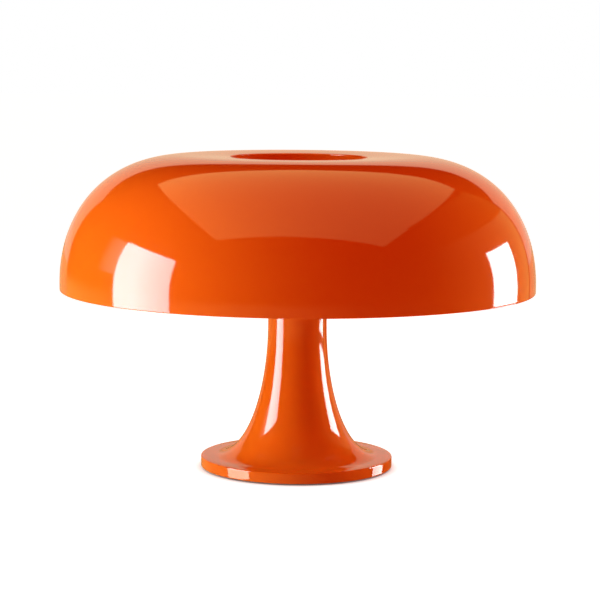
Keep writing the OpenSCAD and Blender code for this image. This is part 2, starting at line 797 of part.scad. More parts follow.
// A bowed filament on two support wires that stand on the end of the glass press
post_gap = 1.6;
post_straight = 6;
filament_spread = globe_r * 0.4;
filament_bow = 4;
filament_r = 0.35;
function filament_route() = concat(
    [[-post_gap, 0, press_end + hole_clear], [-post_gap, 0, press_end + post_straight]],
    [for (a = [180 : -30 : 0]) [filament_spread * cos(a), 0, globe_mid + filament_bow * sin(a)]],
    [[post_gap, 0, press_end + post_straight], [post_gap, 0, press_end + hole_clear]]);

module bulb_filament(k) {
    color(steel) at_holder(k) wire(route(filament_route(), 4), filament_r, [0, 1, 0], 6);
}

// The cap's thread as rings of the thread's pitch and depth
ring_steps = 8;
thread_rings = floor((cap_len - 3 * cap_lip) / thread_pitch);
function thread_outline() = [for (i = [0 : thread_rings * ring_steps])
    [cap_d / 2 - thread_depth * (1 - cos(360 * i / ring_steps)) / 2,
     cap_start + cap_lip + i * thread_pitch / ring_steps]];

module bulb_cap(k) {
    color(brass) at_holder(k) difference() {
        rotate_extrude() polygon(concat(
            [[0, cap_start], [cap_d / 2 - cap_lip, cap_start]],
            thread_outline(),
            [[cap_d / 2, cap_end], [0, cap_end]]));
        translate([0, 0, cap_start + cap_t]) cylinder(r = neck_glass_r + hole_clear, h = cap_len);
    }
}

// The black glass between the cap and the contact tip stands out round the tip by its lip
insulator_lip = 0.8;

module bulb_insulator(k) {
    color(black) at_holder(k) translate([0, 0, tip_end])
        cylinder(d1 = tip_d + 2 * insulator_lip, d2 = cap_d - 2 * cap_lip - cap_t, h = insulator_len);
}

// Width of the tip's nose as a share of its own width
nose_share = 0.6;

module bulb_tip(k) {
    color(steel) at_holder(k) translate([0, 0, contact_face])
        cylinder(d1 = tip_d * nose_share, d2 = tip_d, h = tip_len);
}

stem();
base_plate();
felt_ring();
base_screws();
ballast();
ballast_screws();
cord_bushing();
terminal_block();
terminal_inserts();
terminal_screws();
terminal_fixing_screw();
supply_leads();
threaded_tube();
lower_washer();
lower_nut();
upper_washer();
upper_nut();
carrier();
shade_pads();
shade();
for (k = JUMPERS) jumper_leads(k);
for (k = HOLDERS) holder_body(k);
for (k = HOLDERS) holder_shell(k);
for (k = HOLDERS) holder_contact(k);
for (k = HOLDERS) holder_nut(k);
for (k = HOLDERS) bulb_glass(k);
for (k = HOLDERS) bulb_filament(k);
for (k = HOLDERS) bulb_cap(k);
for (k = HOLDERS) bulb_insulator(k);
for (k = HOLDERS) bulb_tip(k);
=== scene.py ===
# Mushroom table lamp in glossy orange plastic: a dome shade with a well in its top, a trumpet stem
# on a flat round foot, and four small globe bulbs under the dome. Lengths are written in
# millimetres and made into metres as each piece is built.
import math

import bmesh
import bpy
from mathutils import Matrix, Vector


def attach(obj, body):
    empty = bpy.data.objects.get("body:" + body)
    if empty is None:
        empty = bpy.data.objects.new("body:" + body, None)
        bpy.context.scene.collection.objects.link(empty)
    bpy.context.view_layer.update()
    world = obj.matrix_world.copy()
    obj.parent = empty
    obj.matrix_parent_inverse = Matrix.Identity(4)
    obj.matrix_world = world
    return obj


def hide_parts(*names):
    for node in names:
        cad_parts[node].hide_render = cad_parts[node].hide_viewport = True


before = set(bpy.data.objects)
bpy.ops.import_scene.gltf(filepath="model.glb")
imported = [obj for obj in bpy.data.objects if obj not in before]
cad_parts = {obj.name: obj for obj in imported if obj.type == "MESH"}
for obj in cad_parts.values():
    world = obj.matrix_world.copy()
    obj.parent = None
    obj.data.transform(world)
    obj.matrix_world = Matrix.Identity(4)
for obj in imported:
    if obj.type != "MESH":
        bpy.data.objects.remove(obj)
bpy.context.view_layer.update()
MM = 0.001

# Camera: it stands 1.37 m in front of the lamp, a little above it, and looks down at it through a
# long lens. It leans by half a degree, as the photograph does. Its place is in metres.
camera_data = bpy.data.cameras.new("camera")
camera_data.lens = 122.64
camera_data.sensor_width = 36.0
camera_data.shift_x = 0.0040
camera_data.clip_start = 0.05
camera_data.clip_end = 60.0
camera = bpy.data.objects.new("camera", camera_data)
bpy.context.scene.collection.objects.link(camera)
away, above = 1.373, 0.2801
looks_down, leans = math.radians(6.89), math.radians(0.46)
camera.matrix_world = (Matrix.Translation((0, -away, above))
                       @ Matrix.Rotation(math.pi / 2 - looks_down, 4, "X")
                       @ Matrix.Rotation(leans, 4, "Z"))
bpy.context.scene.camera = camera
bpy.context.scene.view_settings.view_transform = "Standard"

# Studio: a light tent. A bright soft box stands at each side of the lamp, with dim walls, a ceiling
# and a back panel round them. They show in gloss only, and area lamps beside them give the light.


def node_tree(owner):
    owner.use_nodes = True
    tree = owner.node_tree
    tree.nodes.clear()
    return tree


def add_node(tree, kind, **values):
    """A shader node; values name its properties or, with spaces as _, its input sockets"""
    made = tree.nodes.new(kind)
    for key, value in values.items():
        if hasattr(made, key):
            setattr(made, key, value)
        else:
            made.inputs[key.replace("_", " ")].default_value = value
    return made


def studio_panel(name, corners, strength, colour=(1, 1, 1), fade=None):
    """A flat panel; fade is (axis, start, end, strength at the end) for one that dims along an axis"""
    mesh = bpy.data.meshes.new(name)
    mesh.from_pydata([[v * MM for v in c] for c in corners], [], [list(range(len(corners)))])
    panel = bpy.data.objects.new(name, mesh)
    bpy.context.scene.collection.objects.link(panel)
    material = bpy.data.materials.new(name)
    tree = node_tree(material)
    glow = add_node(tree, "ShaderNodeEmission", Color=(*colour, 1), Strength=strength)
    if fade:
        place = add_node(tree, "ShaderNodeNewGeometry")
        split = add_node(tree, "ShaderNodeSeparateXYZ")
        ramp = add_node(tree, "ShaderNodeMapRange", From_Min=fade[1] * MM, From_Max=fade[2] * MM,
                        To_Min=strength, To_Max=fade[3])
        tree.links.new(place.outputs["Position"], split.inputs[0])
        tree.links.new(split.outputs[fade[0]], ramp.inputs["Value"])
        tree.links.new(ramp.outputs["Result"], glow.inputs["Strength"])
    out = add_node(tree, "ShaderNodeOutputMaterial")
    tree.links.new(glow.outputs[0], out.inputs["Surface"])
    mesh.materials.append(material)
    panel.visible_camera = False
    panel.visible_diffuse = False
    panel.visible_shadow = False


def studio_lamp(name, place, towards, width, height, radiance, colour=(1, 1, 1)):
    """An area lamp whose surface has the radiance given, and which no gloss shows"""
    data = bpy.data.lights.new(name, "AREA")
    data.shape = "RECTANGLE"
    data.size = width * MM
    data.size_y = height * MM
    data.energy = radiance * math.pi * data.size * data.size_y
    data.color = colour
    lamp = bpy.data.objects.new(name, data)
    bpy.context.scene.collection.objects.link(lamp)
    lamp.location = Vector(place) * MM
    lamp.rotation_euler = (Vector(towards) - Vector(place)).to_track_quat("-Z", "Y").to_euler()
    lamp.visible_glossy = False
    lamp.visible_camera = False
    lamp.visible_transmission = False


def upright(x, y_from, y_to, z_from, z_to):
    """The corners of a panel that stands across the X axis"""
    return [(x, y_from, z_from), (x, y_from, z_to), (x, y_to, z_to), (x, y_to, z_from)]


# The planes of the tent's sides, and the lower edges of the soft boxes and of their foot panels
side_x, wall_x, back_y, ceiling_z = 700, 730, 800, 1000
box_foot, box_deep = -60, -220
# The left soft box brightens from its rear to its middle and dims again to its front
box_rear, box_middle, box_front, box_top = -42, -190, -468, 418
box_tint = (1.0, 0.98, 1.04)
studio_panel("left_soft_box", upright(-side_x, box_middle, box_front, box_foot, box_top), 16.2, box_tint,
             fade=("Y", box_middle, box_front, 11.6))
studio_panel("left_soft_box_rear", upright(-side_x, box_rear, box_middle, box_foot, box_top), 13.6,
             box_tint, fade=("Y", box_rear, box_middle, 16.2))
studio_panel("left_soft_box_foot", upright(-side_x, -50, box_front, box_deep, box_foot), 8.0,
             (1.0, 1.0, 0.8), fade=("Y", -50, box_front, 10.5))
studio_panel("left_haze", upright(-side_x, 120, box_rear, 190, 410), 1.9, (1.0, 0.95, 0.8),
             fade=("Y", box_rear, 120, 0.0))
right_front, right_rear = 60, 361
studio_panel("right_soft_box", [(side_x, right_front, 35), (side_x, right_front, 316),
                                (side_x, right_rear, 312), (side_x, right_rear, 35)], 15.0)
studio_panel("right_soft_box_low", upright(side_x, right_front, right_rear, box_foot, 9), 15.0)
studio_panel("right_soft_box_foot", upright(side_x, 130, 439, box_deep, box_foot), 8.8, (1.0, 0.97, 0.93))
wall_front, wall_split, wall_top = -350, 500, 900
studio_panel("right_wall", upright(wall_x, wall_front, back_y, box_foot, wall_split), 0.02,
             (1.0, 0.9, 0.26), fade=("Y", wall_front, back_y, 0.65))
studio_panel("right_wall_high", upright(wall_x, wall_front, back_y, wall_split, wall_top), 0.01,
             (1.0, 0.8, 0.1), fade=("Y", wall_front, back_y, 0.2))
studio_panel("ceiling_panel",
             [(x, y, ceiling_z) for x, y in ((-765, -800), (900, -915), (725, 850), (0, 950), (-600, 710))],
             1.6, (1.0, 0.78, 0.25), fade=("X", -700, 800, 0.95))
back_low, back_middle, back_high, back_top = -10, 115, 212, 560
studio_panel("back_panel", [(-720, back_y, back_high), (695, back_y, back_high), (700, back_y, back_top),
                            (-700, back_y, back_top)], 0.86, (1.0, 0.74, 0.48))
studio_panel("back_panel_low", [(-730, back_y, back_middle), (690, back_y, back_middle),
                                (695, back_y, back_high), (-720, back_y, back_high)],
             0.82, (1.0, 0.84, 0.62))
studio_panel("back_panel_foot", [(-740, back_y, back_low), (690, back_y, back_low),
                                 (690, back_y, back_middle), (-730, back_y, back_middle)],
             0.62, (1.0, 0.74, 0.36))
studio_lamp("left_key", (-690, -160, 250), (0, 0, 130), 420, 480, 4.6, (0.76, 1.0, 0.85))
studio_lamp("left_low_key", (-650, -220, 65), (0, 0, 70), 300, 110, 16.0, (0.8, 0.9, 0.7))
studio_lamp("right_rim", (690, 210, 180), (0, 0, 130), 300, 280, 11.5, (1.0, 0.85, 0.7))
studio_lamp("overhead", (40, 0, 990), (0, 0, 0), 1450, 1750, 0.5, (1.0, 0.25, 0.12))
studio_lamp("front_fill", (-550, -950, 110), (0, 0, 80), 700, 180, 2.4, (1.0, 0.03, 0.0))
studio_lamp("back_wash", (0, 790, 280), (0, 0, 130), 1400, 560, 2.0, (1.0, 0.35, 0.2))

# World: white to the camera and through glass. To the lamp it gives a warm fill, and in gloss a glow
# from below the horizon that dims to the right, as a lit table gives.
world = bpy.data.worlds.new("studio")
bpy.context.scene.world = world
tree = node_tree(world)
ray = add_node(tree, "ShaderNodeLightPath")
direction = add_node(tree, "ShaderNodeTexCoord")
split = add_node(tree, "ShaderNodeSeparateXYZ")
below = add_node(tree, "ShaderNodeMapRange", interpolation_type="SMOOTHSTEP", From_Min=-0.03, From_Max=-0.12)
sideways = add_node(tree, "ShaderNodeMapRange", From_Min=-0.6, From_Max=0.6, To_Min=1.0, To_Max=0.1)
table = add_node(tree, "ShaderNodeMath", operation="MULTIPLY")
gloss_glow = add_node(tree, "ShaderNodeMath", operation="MULTIPLY")
paper_glow = 0.75
gloss_glow.inputs[1].default_value = paper_glow
tree.links.new(direction.outputs["Generated"], split.inputs[0])
tree.links.new(split.outputs["Z"], below.inputs["Value"])
tree.links.new(split.outputs["X"], sideways.inputs["Value"])
tree.links.new(below.outputs["Result"], table.inputs[0])
tree.links.new(sideways.outputs["Result"], table.inputs[1])
tree.links.new(table.outputs[0], gloss_glow.inputs[0])
fill = add_node(tree, "ShaderNodeBackground", Color=(1.0, 0.18, 0.08, 1), Strength=0.4)
gloss = add_node(tree, "ShaderNodeBackground", Color=(1.0, 0.65, 0.2, 1))
tree.links.new(gloss_glow.outputs[0], gloss.inputs["Strength"])
white = add_node(tree, "ShaderNodeBackground", Color=(1, 1, 1, 1), Strength=1.0)
gloss_or_fill = add_node(tree, "ShaderNodeMixShader")
tree.links.new(ray.outputs["Is Glossy Ray"], gloss_or_fill.inputs[0])
tree.links.new(fill.outputs[0], gloss_or_fill.inputs[1])
tree.links.new(gloss.outputs[0], gloss_or_fill.inputs[2])
seen = add_node(tree, "ShaderNodeMath", operation="MAXIMUM")
tree.links.new(ray.outputs["Is Camera Ray"], seen.inputs[0])
tree.links.new(ray.outputs["Is Transmission Ray"], seen.inputs[1])
whole = add_node(tree, "ShaderNodeMixShader")
tree.links.new(seen.outputs[0], whole.inputs[0])
tree.links.new(gloss_or_fill.outputs[0], whole.inputs[1])
tree.links.new(white.outputs[0], whole.inputs[2])
out = add_node(tree, "ShaderNodeOutputWorld")
tree.links.new(whole.outputs[0], out.inputs["Surface"])

# Floor: white paper whose glow is darkened close to what stands on it, a painted contact shadow,
# while its lit part keeps the real shadow. It is clear when seen from below, and no gloss shows it.
floor_half = 12
floor_mesh = bpy.data.meshes.new("floor")
floor_corners = [(x * floor_half, y * floor_half, 0) for x, y in ((-1, -1), (1, -1), (1, 1), (-1, 1))]
floor_mesh.from_pydata(floor_corners, [], [(0, 1, 2, 3)])
floor = bpy.data.objects.new("floor", floor_mesh)
bpy.context.scene.collection.objects.link(floor)
floor_material = bpy.data.materials.new("floor_paper")
tree = node_tree(floor_material)
ray = add_node(tree, "ShaderNodeLightPath")
paper = add_node(tree, "ShaderNodeBsdfDiffuse", Color=(0.8, 0.8, 0.8, 1))
lit_paper = add_node(tree, "ShaderNodeBsdfDiffuse", Color=(0.5, 0.5, 0.5, 1))
glow = add_node(tree, "ShaderNodeEmission")
# The glow dims with ambient occlusion close to what stands on the floor: a painted contact shadow
contact = add_node(tree, "ShaderNodeAmbientOcclusion", samples=8, Distance=6 * MM)
glow_with_painted_shadow = add_node(tree, "ShaderNodeMapRange", To_Min=0.04, To_Max=0.98)
tree.links.new(contact.outputs["AO"], glow_with_painted_shadow.inputs["Value"])
tree.links.new(glow_with_painted_shadow.outputs["Result"], glow.inputs["Strength"])
both = add_node(tree, "ShaderNodeAddShader")
tree.links.new(lit_paper.outputs[0], both.inputs[0])
tree.links.new(glow.outputs[0], both.inputs[1])
seen = add_node(tree, "ShaderNodeMath", operation="MAXIMUM")
tree.links.new(ray.outputs["Is Camera Ray"], seen.inputs[0])
tree.links.new(ray.outputs["Is Transmission Ray"], seen.inputs[1])
floor_mix = add_node(tree, "ShaderNodeMixShader")
tree.links.new(seen.outputs[0], floor_mix.inputs[0])
tree.links.new(paper.outputs[0], floor_mix.inputs[1])
tree.links.new(both.outputs[0], floor_mix.inputs[2])
facing = add_node(tree, "ShaderNodeNewGeometry")
clear = add_node(tree, "ShaderNodeBsdfTransparent")
one_sided = add_node(tree, "ShaderNodeMixShader")
tree.links.new(facing.outputs["Backfacing"], one_sided.inputs[0])
tree.links.new(floor_mix.outputs[0], one_sided.inputs[1])
tree.links.new(clear.outputs[0], one_sided.inputs[2])
out = add_node(tree, "ShaderNodeOutputMaterial")
tree.links.new(one_sided.outputs[0], out.inputs["Surface"])
floor_mesh.materials.append(floor_material)
floor.visible_glossy = False

# Stem: one moulding of glossy orange plastic, a trumpet that flares into a flat round foot. It is
# hollow, with an end wall at the neck, four screw bosses and a round spigot for the cord behind.


def bend(points, steps):
    """Points along a cubic curve with four control points"""
    a, b, c, d = [Vector(p) for p in points]
    found = []
    for i in range(steps + 1):
        t = i / steps
        u = 1 - t
        found.append(u ** 3 * a + 3 * u * u * t * b + 3 * u * t * t * c + t ** 3 * d)
    return found


def drawn_in(points, wall):
    """A profile moved sideways by a wall's thickness, to its left"""
    found = []
    for i, point in enumerate(points):
        way = (points[min(i + 1, len(points) - 1)] - points[max(i - 1, 0)]).normalized()
        found.append(point + wall * Vector((-way.y, way.x)))
    return found


def rounded(points, radii, steps=4):
    """A closed outline whose sharp corners are each given their radius"""
    nearly_straight = math.radians(172)
    found = []
    for i, point in enumerate(points):
        before = Vector(points[i - 1]) - Vector(point)
        after = Vector(points[(i + 1) % len(points)]) - Vector(point)
        angle = before.angle(after, math.pi)
        if radii[i] <= 0 or angle > nearly_straight:
            found.append(Vector(point))
            continue
        cut = min(radii[i] / math.tan(angle / 2), before.length * 0.45, after.length * 0.45)
        first = Vector(point) + before.normalized() * cut
        last = Vector(point) + after.normalized() * cut
        for j in range(steps + 1):
            t = j / steps
            found.append((1 - t) ** 2 * first + 2 * t * (1 - t) * Vector(point) + t * t * last)
    return found


def on_ring(radius, turn, height):
    """The place at an angle on a ring about the Z axis"""
    return Matrix.Translation(Vector((radius * math.cos(turn), radius * math.sin(turn), height)) * MM)


def turned(name, outline, rounds, wave=None):
    """
    A solid turned about the Z axis from the (radius, height) points round its section. A point at
    radius 0 is a pole. A wave gives the radius from the radius, the height and the angle.
    """
    mesh = bpy.data.meshes.new(name)
    shape = bmesh.new()
    area = sum(a[0] * b[1] - b[0] * a[1] for a, b in zip(outline, outline[1:] + outline[:1]))
    rings = []
    for radius, height in outline if area > 0 else outline[::-1]:
        if radius < 1e-6:
            rings.append([shape.verts.new((0, 0, height * MM))])
            continue
        ring = []
        for j in range(rounds):
            angle = 2 * math.pi * j / rounds
            r = wave(radius, height, angle) if wave else radius
            ring.append(shape.verts.new((r * MM * math.cos(angle), r * MM * math.sin(angle), height * MM)))
        rings.append(ring)
    pairs = list(zip(rings, rings[1:] + rings[:1]))
    for low, high in pairs:
        if len(low) == 1 and len(high) == 1:
            continue
        for j in range(rounds):
            k = (j + 1) % rounds
            if len(low) == 1:
                shape.faces.new((low[0], high[k], high[j]))
            elif len(high) == 1:
                shape.faces.new((low[j], low[k], high[0]))
            else:
                shape.faces.new((low[j], low[k], high[k], high[j]))
    shape.to_mesh(mesh)
    shape.free()
    return finished(name, mesh)


def smoothed(mesh):
    """Shades a mesh smooth but for its sharp edges"""
    for face in mesh.polygons:
        face.use_smooth = True
    mesh.set_sharp_from_angle(angle=math.radians(32))


def finished(name, mesh):
    """Links a mesh as a smooth piece"""
    smoothed(mesh)
    piece = bpy.data.objects.new(name, mesh)
    bpy.context.scene.collection.objects.link(piece)
    return piece


def cut_or_join(piece, tool, operation):
    """Cuts a tool out of a piece, or joins it on, and removes the tool"""
    change = piece.modifiers.new("change", "BOOLEAN")
    change.operation = operation
    change.solver = "EXACT"
    change.object = tool
    bpy.context.view_layer.update()
    graph = bpy.context.evaluated_depsgraph_get()
    mesh = bpy.data.meshes.new_from_object(piece.evaluated_get(graph))
    piece.modifiers.clear()
    old = piece.data
    piece.data = mesh
    mesh.name = piece.name
    bpy.data.meshes.remove(old)
    bpy.data.objects.remove(tool)
    smoothed(mesh)


def set_down(piece, matrix):
    """Moves a piece's mesh, so that the piece itself stays at the origin"""
    piece.data.transform(matrix)
    piece.data.update()
    return piece


def joined(name, pieces):
    """One piece made of several meshes"""
    shape = bmesh.new()
    for piece in pieces:
        shape.from_mesh(piece.data)
        bpy.data.objects.remove(piece)
    mesh = bpy.data.meshes.new(name)
    shape.to_mesh(mesh)
    shape.free()
    return finished(name, mesh)


foot_r, foot_top, flare_r, flare_top = 65, 8.2, 56.2, 96.7
neck_r, stem_top, stem_wall, end_wall, tube_hole_r = 19.9, 126.0, 3.0, 4.0, 5.1
# The recess that takes the base plate, and the cavity above its ledge
plate_r, cavity_r, foot_under, plate_top, cavity_start = 60.3, 56.8, 1.0, 3.0, 5.2
# The control points that pull the flare's curve down along the neck and in over the foot
neck_pull_z, foot_pull_r = 58.7, 31.2
flare = bend([(neck_r, flare_top), (neck_r, neck_pull_z), (foot_pull_r, foot_top), (flare_r, foot_top)], 90)
flare_inside = [p for p in drawn_in(flare, -stem_wall) if p.y > cavity_start + 0.1]
foot_edge = rounded([(flare_r, foot_top), (foot_r, foot_top), (foot_r, foot_under), (plate_r, foot_under),
                     (plate_r, plate_top), (cavity_r, plate_top), (cavity_r, cavity_start)],
                    [0, 0.9, 0.8, 0.2, 0.1, 0.1, 0], steps=5)
neck = [(tube_hole_r, stem_top), (neck_r - 0.3, stem_top), (neck_r - 0.1, stem_top - 0.1)]
neck += [(neck_r, stem_top - 0.3 - 2.9 * i) for i in range(10)]
neck_end = [(neck_r - stem_wall, stem_top - end_wall), (tube_hole_r, stem_top - end_wall)]
stem = turned("stem_moulding", neck + flare + foot_edge[1:] + flare_inside[::-1] + neck_end, 192)
# The round spigot behind, which the cord's bore goes through
inlet_height, spigot_r, spigot_start, spigot_length = 13.6, 5.2, 38, 16.2
inlet_bore_r, inlet_bore_start, inlet_bore_length = 4.0, 30, 30


def at_inlet(start):
    """The place of a shape made along Z that lies along the cord's way in, at the rear of the foot"""
    return Matrix.Translation((0, start * MM, inlet_height * MM)) @ Matrix.Rotation(-math.pi / 2, 4, "X")


spigot_outline = [(0, 0), (spigot_r, 0), (spigot_r, spigot_length - 0.4),
                  (spigot_r - 0.15, spigot_length - 0.1), (spigot_r - 0.4, spigot_length),
                  (0, spigot_length)]
spigot = set_down(turned("spigot", spigot_outline, 96), at_inlet(spigot_start))
cut_or_join(stem, spigot, "UNION")
bore_outline = [(0, 0), (inlet_bore_r, 0), (inlet_bore_r, inlet_bore_length), (0, inlet_bore_length)]
bore = set_down(turned("bore", bore_outline, 64), at_inlet(inlet_bore_start))
cut_or_join(stem, bore, "DIFFERENCE")
# Four bosses, whose tops follow the flare and end inside its wall
boss_ring_r, boss_r, boss_hole_r, boss_top, under_skin = 42, 3.5, 1.7, 9.0, 1.5
boss_line = [(boss_hole_r, plate_top), (boss_r, plate_top), (boss_r, boss_top), (boss_hole_r, boss_top)]
bosses = []
for k in range(4):
    boss = turned("boss_%d" % k, boss_line, 32)
    set_down(boss, on_ring(boss_ring_r, math.radians(90 * k + 45), 0))
    for point in boss.data.vertices:
        if point.co.z > (boss_top - 1) * MM:
            from_axis = point.co.xy.length / MM
            beyond = [p for p in flare if p.x >= from_axis][0]
            point.co.z = (beyond.y - under_skin) * MM
    bosses.append(boss)
stem = joined("stem_moulding", [stem] + bosses)


def effect(name, inputs, outputs):
    """A shader node group with named sockets; each input is (name, kind, value)"""
    group = bpy.data.node_groups.new(name, "ShaderNodeTree")
    for label, kind, value in inputs:
        socket = group.interface.new_socket(name=label, in_out="INPUT", socket_type="NodeSocket" + kind)
        socket.default_value = value
    for label, kind in outputs:
        group.interface.new_socket(name=label, in_out="OUTPUT", socket_type="NodeSocket" + kind)
    return group, group.nodes.new("NodeGroupInput"), group.nodes.new("NodeGroupOutput")


def between(tree, share, first, second):
    """The colour that lies between two others by a share; returns its socket"""
    mix = add_node(tree, "ShaderNodeMix", data_type="RGBA")
    tree.links.new(share, mix.inputs[0])
    mix.inputs[6].default_value = (*first, 1)
    mix.inputs[7].default_value = (*second, 1)
    return mix.outputs[2]


def ranged(tree, value, low, high, low_value, high_value):
    """A value carried from one range to another; returns its socket"""
    ramp = add_node(tree, "ShaderNodeMapRange", From_Min=low, From_Max=high,
                    To_Min=low_value, To_Max=high_value)
    tree.links.new(value, ramp.inputs["Value"])
    return ramp.outputs["Result"]


def bumped(tree, height, depth, shader):
    """Gives a shader a bump of the depth in millimetres"""
    bump = add_node(tree, "ShaderNodeBump", Strength=1.0, Distance=depth * MM)
    tree.links.new(height, bump.inputs["Height"])
    tree.links.new(bump.outputs["Normal"], shader.inputs["Normal"])


def put_out(tree, shader):
    """Puts a shader on the surface"""
    out = add_node(tree, "ShaderNodeOutputMaterial")
    tree.links.new(shader.outputs[0], out.inputs["Surface"])


def new_material(slot):
    """A material for one of the lamp's slots, and its empty node tree"""
    material = bpy.data.materials.new(slot)
    material["slot"] = slot
    return material, node_tree(material)


# The skin of moulded plastic: a very fine orange peel, soft cloudy variation and faint wiping marks
mould_skin, skin_in, skin_out = effect(
    "mould_skin", [("Peel Scale", "Float", 420.0), ("Cloud Scale", "Float", 9.0)],
    [("Height", "Float"), ("Clouds", "Float"), ("Wiping", "Float")])
place = add_node(mould_skin, "ShaderNodeTexCoord")
peel = add_node(mould_skin, "ShaderNodeTexNoise", Detail=2.0, Roughness=0.5)
cloud = add_node(mould_skin, "ShaderNodeTexNoise", Detail=3.0, Roughness=0.55)
stretch = add_node(mould_skin, "ShaderNodeMapping", Scale=(14.0, 14.0, 160.0), Rotation=(0.3, 0.2, 0.0))
wipe = add_node(mould_skin, "ShaderNodeTexNoise", Scale=1.0, Detail=4.0, Roughness=0.6)
for texture in (peel, cloud, stretch):
    mould_skin.links.new(place.outputs["Object"], texture.inputs["Vector"])
mould_skin.links.new(stretch.outputs["Vector"], wipe.inputs["Vector"])
mould_skin.links.new(skin_in.outputs["Peel Scale"], peel.inputs["Scale"])
mould_skin.links.new(skin_in.outputs["Cloud Scale"], cloud.inputs["Scale"])
mould_skin.links.new(peel.outputs["Fac"], skin_out.inputs["Height"])
mould_skin.links.new(cloud.outputs["Fac"], skin_out.inputs["Clouds"])
mould_skin.links.new(wipe.outputs["Fac"], skin_out.inputs["Wiping"])


def moulded(name, dark, light, rough_low, rough_high, peel_height):
    """A moulded plastic or rubber whose colour clouds softly between two near tones"""
    material, tree = new_material(name)
    skin = add_node(tree, "ShaderNodeGroup", node_tree=mould_skin)
    plastic = add_node(tree, "ShaderNodeBsdfPrincipled", IOR=1.5)
    tree.links.new(between(tree, skin.outputs["Clouds"], dark, light), plastic.inputs["Base Color"])
    tree.links.new(ranged(tree, skin.outputs["Wiping"], 0.3, 0.7, rough_low, rough_high),
                   plastic.inputs["Roughness"])
    bumped(tree, skin.outputs["Height"], peel_height, plastic)
    put_out(tree, plastic)
    return material


def dressed(piece, body, material, *nodes):
    """Gives a piece its material and its body, and hides the nodes of the frame that it stands for"""
    piece.data.materials.clear()
    piece.data.materials.append(material)
    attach(piece, body)
    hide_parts(*nodes)


def recoloured(material, *nodes):
    """Gives nodes of the frame their material"""
    for node in nodes:
        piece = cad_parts[node]
        piece.data.materials.clear()
        piece.data.materials.append(material)


orange_plastic = moulded("orange_plastic", (0.82, 0.144, 0.007), (0.87, 0.160, 0.008), 0.045, 0.075, 0.001)
dressed(stem, "root", orange_plastic, "stem")

# Cord bushing: a black rubber sleeve that is pushed into the stem's rear spigot from outside, up
# to its thin flange.
black_rubber = moulded("black_rubber", (0.012, 0.012, 0.013), (0.022, 0.021, 0.021), 0.5, 0.65, 0.01)
bore_r, sleeve_r, flange_r, flange_end = 2.8, 3.9, 4.8, 17.7
bushing_line = rounded([(bore_r, 0), (sleeve_r, 0), (sleeve_r, spigot_length), (flange_r, spigot_length),
                        (flange_r, flange_end), (bore_r, flange_end)], [0.3, 0.3, 0, 0.3, 0.4, 0.5])
bushing = set_down(turned("bushing", bushing_line, 64), at_inlet(spigot_start))
dressed(bushing, "root", black_rubber, "cord_bushing")

# Terminal block: an ivory plastic block behind the ballast, with two brass poles, their four clamp
# screws and the screw that holds it to the base plate. All of it is shut in the foot.
ivory_plastic = moulded("ivory_plastic", (0.66, 0.62, 0.50), (0.72, 0.68, 0.56), 0.3, 0.42, 0.003)
recoloured(ivory_plastic, "terminal_block")

# Surfaces of metal share a drawn or rolled grain, soft clouds and the rub on their edges
metal_face, face_in, face_out = effect(
    "metal_face",
    [("Grain Scale", "Float", 90.0), ("Cloud Scale", "Float", 60.0), ("Edge Width", "Float", 0.0004)],
    [("Grain", "Float"), ("Clouds", "Float"), ("Edges", "Float")])
place = add_node(metal_face, "ShaderNodeTexCoord")
draw_out = add_node(metal_face, "ShaderNodeMapping", Scale=(1.0, 14.0, 1.0))
grain = add_node(metal_face, "ShaderNodeTexNoise", Detail=4.0, Roughness=0.6)
cloud = add_node(metal_face, "ShaderNodeTexNoise", Detail=3.0, Roughness=0.5)
round_off = add_node(metal_face, "ShaderNodeBevel", samples=4)
flat = add_node(metal_face, "ShaderNodeNewGeometry")
turn_between = add_node(metal_face, "ShaderNodeVectorMath", operation="DOT_PRODUCT")
metal_face.links.new(place.outputs["Object"], draw_out.inputs["Vector"])
metal_face.links.new(draw_out.outputs["Vector"], grain.inputs["Vector"])
metal_face.links.new(place.outputs["Object"], cloud.inputs["Vector"])
metal_face.links.new(face_in.outputs["Grain Scale"], grain.inputs["Scale"])
metal_face.links.new(face_in.outputs["Cloud Scale"], cloud.inputs["Scale"])
metal_face.links.new(face_in.outputs["Edge Width"], round_off.inputs["Radius"])
metal_face.links.new(round_off.outputs["Normal"], turn_between.inputs[0])
metal_face.links.new(flat.outputs["Normal"], turn_between.inputs[1])
metal_face.links.new(grain.outputs["Fac"], face_out.inputs["Grain"])
metal_face.links.new(cloud.outputs["Fac"], face_out.inputs["Clouds"])
metal_face.links.new(ranged(metal_face, turn_between.outputs["Value"], 0.995, 0.86, 0.0, 1.0),
                     face_out.inputs["Edges"])


def metal(name, dark, light, worn, rough_low, rough_high, grain_depth, metallic=1.0):
    """A metal whose tone clouds between two others and is rubbed to a third one along its edges"""
    material, tree = new_material(name)
    face = add_node(tree, "ShaderNodeGroup", node_tree=metal_face)
    shader = add_node(tree, "ShaderNodeBsdfPrincipled", Metallic=metallic)
    rub = add_node(tree, "ShaderNodeMix", data_type="RGBA")
    tree.links.new(face.outputs["Edges"], rub.inputs[0])
    tree.links.new(between(tree, face.outputs["Clouds"], dark, light), rub.inputs[6])
    rub.inputs[7].default_value = (*worn, 1)
    tree.links.new(rub.outputs[2], shader.inputs["Base Color"])
    tree.links.new(ranged(tree, face.outputs["Grain"], 0.3, 0.7, rough_low, rough_high),
                   shader.inputs["Roughness"])
    bumped(tree, face.outputs["Grain"], grain_depth, shader)
    put_out(tree, shader)
    return material


brass_dark, brass_light = (0.62, 0.42, 0.17), (0.74, 0.53, 0.24)
brass = metal("brass", brass_dark, brass_light, (0.88, 0.70, 0.38), 0.22, 0.38, 0.002)
zinc_steel = metal("zinc_steel", (0.46, 0.47, 0.49), (0.60, 0.61, 0.62), (0.74, 0.74, 0.75),
                   0.28, 0.46, 0.002)
recoloured(brass, "terminal_inserts")
recoloured(zinc_steel, "terminal_screws", "terminal_fixing_screw")

